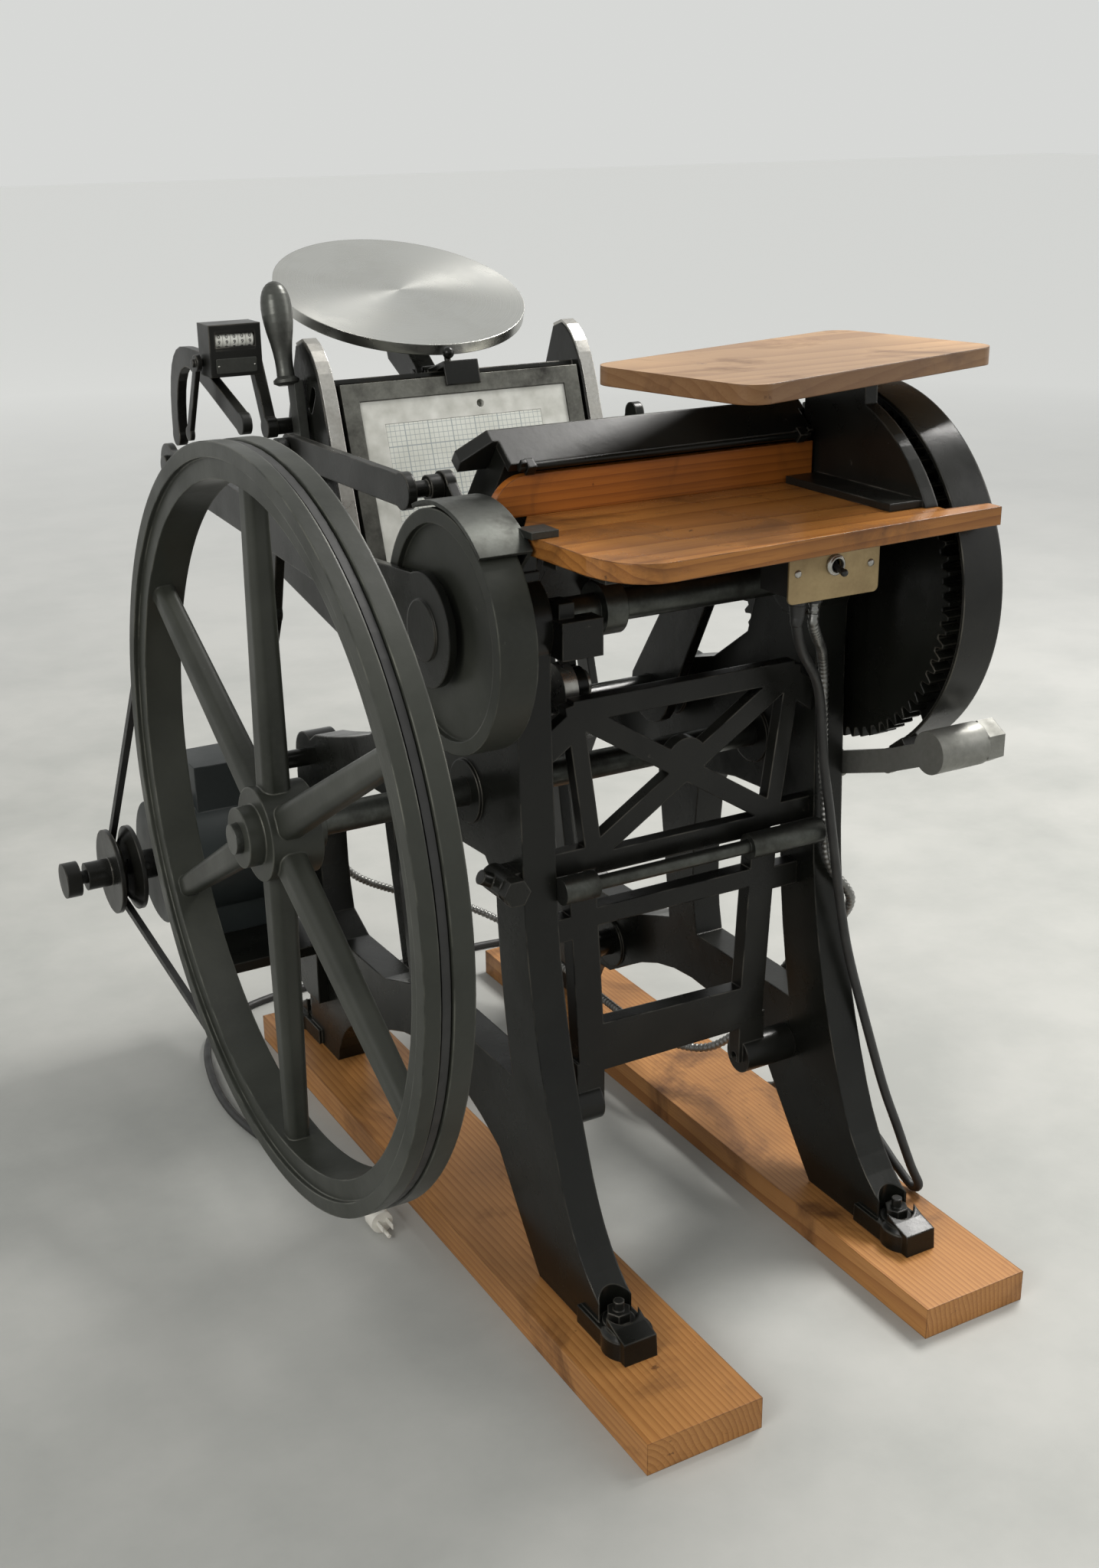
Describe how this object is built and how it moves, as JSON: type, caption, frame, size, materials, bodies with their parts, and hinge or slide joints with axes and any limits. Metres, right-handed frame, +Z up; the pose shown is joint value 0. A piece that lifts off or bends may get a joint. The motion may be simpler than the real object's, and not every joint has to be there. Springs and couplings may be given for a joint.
{
  "type": "platen printing press",
  "caption": "Hand-fed platen printing press with a spoked flywheel, belt drive motor, wooden boards, ink disk and impression counter on two wooden runners.",
  "frame": {"origin": "under the middle of the press's box, on the floor, leaving out the supply cord and its plug", "axes": "+X to the operator's right, +Y from the operator to the back, +Z up"},
  "size_m": [0.8648, 1.21, 1.1084],
  "materials": {
    "black_iron": "worn gloss",
    "dark_iron": "worn satin",
    "motor_paint": "satin",
    "bright_steel": "polished and worn",
    "disk_steel": "turned",
    "guard_steel": "dull",
    "maple": "worn varnish",
    "pine": "bare",
    "rubber": "matt",
    "cover_plate": "dull",
    "switch_black": "satin",
    "plug_white": "satin",
    "form_print": "satin with a printed grid",
    "lockup_steel": "worn",
    "wheel_white": "satin with printed digits",
    "flex_steel": "ribbed"
  },
  "bodies": {
    "frame": {"runner_left": "pine", "runner_right": "pine", "side_frame_left": "black_iron", "side_frame_right": "black_iron", "front_brace": "dark_iron", "cross_brace": "dark_iron", "stay_rod": "guard_steel", "foot_bolts": "dark_iron", "bearing_bolt": "dark_iron", "delivery_board": "maple", "board_lip": "maple", "board_support": "dark_iron", "feed_post": "dark_iron", "feed_board": "maple", "gear_guard": "dark_iron", "guard_stay": "guard_steel", "disc_guard": "guard_steel", "switch_box": "switch_black", "switch_plate": "cover_plate", "power_cord": "rubber", "power_plug": "plug_white", "metal_conduit": "flex_steel", "motor": "motor_paint", "motor_bracket": "black_iron", "drive_belt": "rubber"},
    "switch_toggle": {"switch_toggle": "switch_black"},
    "drive": {"flywheel": "black_iron", "drive_shaft": "guard_steel"},
    "main_drive": {"main_shaft": "guard_steel", "crank_disc": "black_iron", "main_gear": "black_iron"},
    "motor_sheave": {"sheave_fixed": "dark_iron"},
    "sheave_sliding": {"sheave_sliding": "dark_iron"},
    "platen": {"platen": "black_iron", "platen_rocker": "black_iron", "top_bail": "dark_iron"},
    "gripper_bar": {"gripper_bar": "bright_steel"},
    "cam_roller": {"cam_roller": "bright_steel"},
    "platen_link": {"platen_link": "dark_iron"},
    "bed": {"bed": "black_iron", "bed_legs": "black_iron", "roller_rails": "bright_steel", "chase": "lockup_steel", "form_base": "form_print", "furniture": "lockup_steel", "disk_bracket": "black_iron", "counter_bracket": "dark_iron", "counter_box": "dark_iron"},
    "chase_clamp": {"chase_clamp": "bright_steel"},
    "ink_disk": {"ink_disk": "disk_steel"},
    "counter_lever": {"counter_lever": "dark_iron"},
    "draw_bar_left": {"draw_bar_left": "black_iron"},
    "draw_bar_right": {"draw_bar_right": "black_iron"},
    "roller_frame": {"roller_frame": "black_iron"},
    "throw_lever": {"throw_lever": "bright_steel"},
    "counter_wheel_1": {"counter_wheel_1": "wheel_white"},
    "counter_wheel_2": {"counter_wheel_2": "wheel_white"},
    "counter_wheel_3": {"counter_wheel_3": "wheel_white"},
    "counter_wheel_4": {"counter_wheel_4": "wheel_white"},
    "counter_wheel_5": {"counter_wheel_5": "wheel_white"}
  },
  "joints": [
    {"name": "flywheel_spin", "type": "hinge", "parent": "frame", "child": "drive", "pos_m": [0.08356, -0.1619, 0.5791], "axis": [1, 0, 0], "continuous": true},
    {"name": "main_shaft_spin", "type": "hinge", "parent": "frame", "child": "main_drive", "pos_m": [0.08356, -0.2345, 0.7845], "axis": [1, 0, 0], "continuous": true},
    {"name": "motor_spin", "type": "hinge", "parent": "frame", "child": "motor_sheave", "pos_m": [-0.36644, 0.445, 0.31], "axis": [1, 0, 0], "continuous": true},
    {"name": "sheave_shift", "type": "slide", "parent": "motor_sheave", "child": "sheave_sliding", "axis": [-1, 0, 0], "range_m": [0, 0.0098], "stiffness_N_per_m": 3000},
    {"name": "toggle_throw", "type": "hinge", "parent": "frame", "child": "switch_toggle", "pos_m": [0.17356, -0.399, 0.844], "axis": [-1, 0, 0], "range_deg": [0, 28]},
    {"name": "platen_close", "type": "hinge", "parent": "frame", "child": "platen", "pos_m": [0.08356, 0.01129, 0.58979], "axis": [-1, 0, 0], "range_deg": [0, 52.4]},
    {"name": "gripper_turn", "type": "hinge", "parent": "platen", "child": "gripper_bar", "pos_m": [0.08356, -0.23669, 0.94267], "axis": [1, 0, 0], "range_deg": [0, 25]},
    {"name": "roller_spin", "type": "hinge", "parent": "platen", "child": "cam_roller", "pos_m": [-0.03444, -0.222, 0.7], "axis": [1, 0, 0], "continuous": true},
    {"name": "link_turn", "type": "hinge", "parent": "platen", "child": "platen_link", "pos_m": [-0.16344, -0.11, 0.905], "axis": [1, 0, 0], "range_deg": [0, 52.29]},
    {"name": "bed_rock", "type": "hinge", "parent": "frame", "child": "bed", "pos_m": [0.08356, 0.16, 0.17], "axis": [1, 0, 0], "range_deg": [0, 3.57]},
    {"name": "clamp_lift", "type": "hinge", "parent": "bed", "child": "chase_clamp", "pos_m": [0.08356, 0.29541, 0.96215], "axis": [-1, 0, 0], "range_deg": [0, 4]},
    {"name": "disk_spin", "type": "hinge", "parent": "bed", "child": "ink_disk", "pos_m": [0.08356, 0.415, 1.054], "axis": [0, -0.3256, 0.9455], "continuous": true},
    {"name": "count_stroke", "type": "hinge", "parent": "bed", "child": "counter_lever", "pos_m": [-0.22494, 0.344, 0.99], "axis": [1, 0, 0], "range_deg": [0, 8]},
    {"name": "left_bar_turn", "type": "hinge", "parent": "bed", "child": "draw_bar_left", "pos_m": [-0.19394, 0.575, 0.825], "axis": [-1, 0, 0], "range_deg": [0, 1.79]},
    {"name": "right_bar_turn", "type": "hinge", "parent": "bed", "child": "draw_bar_right", "pos_m": [0.34456, 0.575, 0.825], "axis": [-1, 0, 0], "range_deg": [0, 1.79]},
    {"name": "throw_off", "type": "hinge", "parent": "bed", "child": "throw_lever", "pos_m": [-0.11744, 0.278, 0.86], "axis": [1, 0, 0], "range_deg": [0, 14]},
    {"name": "roller_frame_swing", "type": "hinge", "parent": "frame", "child": "roller_frame", "pos_m": [0.08356, 0.316, 0.471], "axis": [-1, 0, 0], "range_deg": [0, 39.28]},
    {"name": "wheel_1_spin", "type": "hinge", "parent": "bed", "child": "counter_wheel_1", "pos_m": [-0.18544, 0.3245, 1.018], "axis": [1, 0, 0], "continuous": true},
    {"name": "wheel_2_spin", "type": "hinge", "parent": "bed", "child": "counter_wheel_2", "pos_m": [-0.18544, 0.3245, 1.018], "axis": [1, 0, 0], "continuous": true},
    {"name": "wheel_3_spin", "type": "hinge", "parent": "bed", "child": "counter_wheel_3", "pos_m": [-0.18544, 0.3245, 1.018], "axis": [1, 0, 0], "continuous": true},
    {"name": "wheel_4_spin", "type": "hinge", "parent": "bed", "child": "counter_wheel_4", "pos_m": [-0.18544, 0.3245, 1.018], "axis": [1, 0, 0], "continuous": true},
    {"name": "wheel_5_spin", "type": "hinge", "parent": "bed", "child": "counter_wheel_5", "pos_m": [-0.18544, 0.3245, 1.018], "axis": [1, 0, 0], "continuous": true}
  ],
  "couplings": [
    {"joint": "main_shaft_spin", "follows": "flywheel_spin", "ratio": -0.16},
    {"joint": "motor_spin", "follows": "flywheel_spin", "ratio": 8.0694},
    {"joint": "bed_rock", "follows": "platen_close", "ratio": 0.06803},
    {"joint": "roller_frame_swing", "follows": "platen_close", "ratio": 0.74938},
    {"joint": "link_turn", "follows": "platen_close", "ratio": 0.99772},
    {"joint": "left_bar_turn", "follows": "platen_close", "ratio": 0.03397},
    {"joint": "right_bar_turn", "follows": "platen_close", "ratio": 0.03397},
    {"joint": "wheel_1_spin", "follows": "wheel_5_spin", "ratio": 0.0001},
    {"joint": "wheel_2_spin", "follows": "wheel_5_spin", "ratio": 0.001},
    {"joint": "wheel_3_spin", "follows": "wheel_5_spin", "ratio": 0.01},
    {"joint": "wheel_4_spin", "follows": "wheel_5_spin", "ratio": 0.1}
  ]
}
